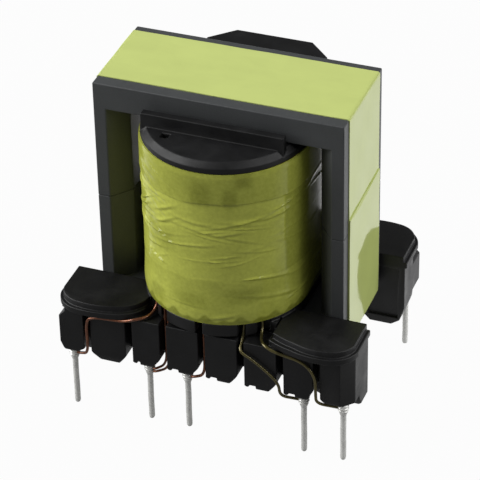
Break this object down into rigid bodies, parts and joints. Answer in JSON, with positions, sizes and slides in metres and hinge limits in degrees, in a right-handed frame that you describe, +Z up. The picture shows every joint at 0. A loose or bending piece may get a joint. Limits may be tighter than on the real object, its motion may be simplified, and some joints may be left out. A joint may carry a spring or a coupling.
{
  "type": "transformer",
  "caption": "Vertical switching transformer: ferrite E core in a tape band, taped winding on a moulded bobbin with two comb terminal blocks and pin rows.",
  "frame": {"origin": "on the plane of the pin tips, in the middle of the pin field", "axes": "+Z up out of the board, +X along the pin rows, +Y from the front row to the rear row"},
  "size_m": [0.0306, 0.0238, 0.0351],
  "materials": {
    "ferrite": "matte, fired dark grey",
    "bobbin": "moulded thermoset, low sheen",
    "core_tape": "polyester film, satin",
    "cover_tape": "polyester film over copper, glossy",
    "inner_tape": "polyester film",
    "copper": "enamelled copper wire, laid close",
    "copper_wire": "enamelled copper wire",
    "pale_wire": "enamelled wire, straw colour",
    "pin": "tinned, dull bright",
    "solder": "solder over wire turns"
  },
  "bodies": {
    "root": {"bobbin": "bobbin", "core_lower": "ferrite", "core_tape_band": "core_tape", "core_upper": "ferrite", "joint_front_1": "solder", "joint_front_3": "solder", "joint_front_4": "solder", "joint_front_7": "solder", "joint_front_8": "solder", "joint_rear_1": "solder", "joint_rear_3": "solder", "joint_rear_4": "solder", "joint_rear_7": "solder", "joint_rear_8": "solder", "lead_front_a": "copper_wire", "lead_front_b": "copper_wire", "lead_front_c": "copper_wire", "lead_front_d": "copper_wire", "lead_front_e": "pale_wire", "lead_front_f": "pale_wire", "lead_rear_a": "copper_wire", "lead_rear_b": "copper_wire", "lead_rear_d": "copper_wire", "lead_rear_e": "copper_wire", "lead_rear_f": "copper_wire", "margin_tape_lower": "inner_tape", "margin_tape_upper": "inner_tape", "pin_front_1": "pin", "pin_front_3": "pin", "pin_front_4": "pin", "pin_front_7": "pin", "pin_front_8": "pin", "pin_rear_1": "pin", "pin_rear_3": "pin", "pin_rear_4": "pin", "pin_rear_7": "pin", "pin_rear_8": "pin", "tape_cover": "cover_tape", "tape_layer_1": "inner_tape", "tape_layer_2": "inner_tape", "tape_layer_3": "inner_tape", "winding_bias": "copper", "winding_primary_inner": "copper", "winding_primary_outer": "copper", "winding_secondary": "copper"}
  },
  "joints": []
}
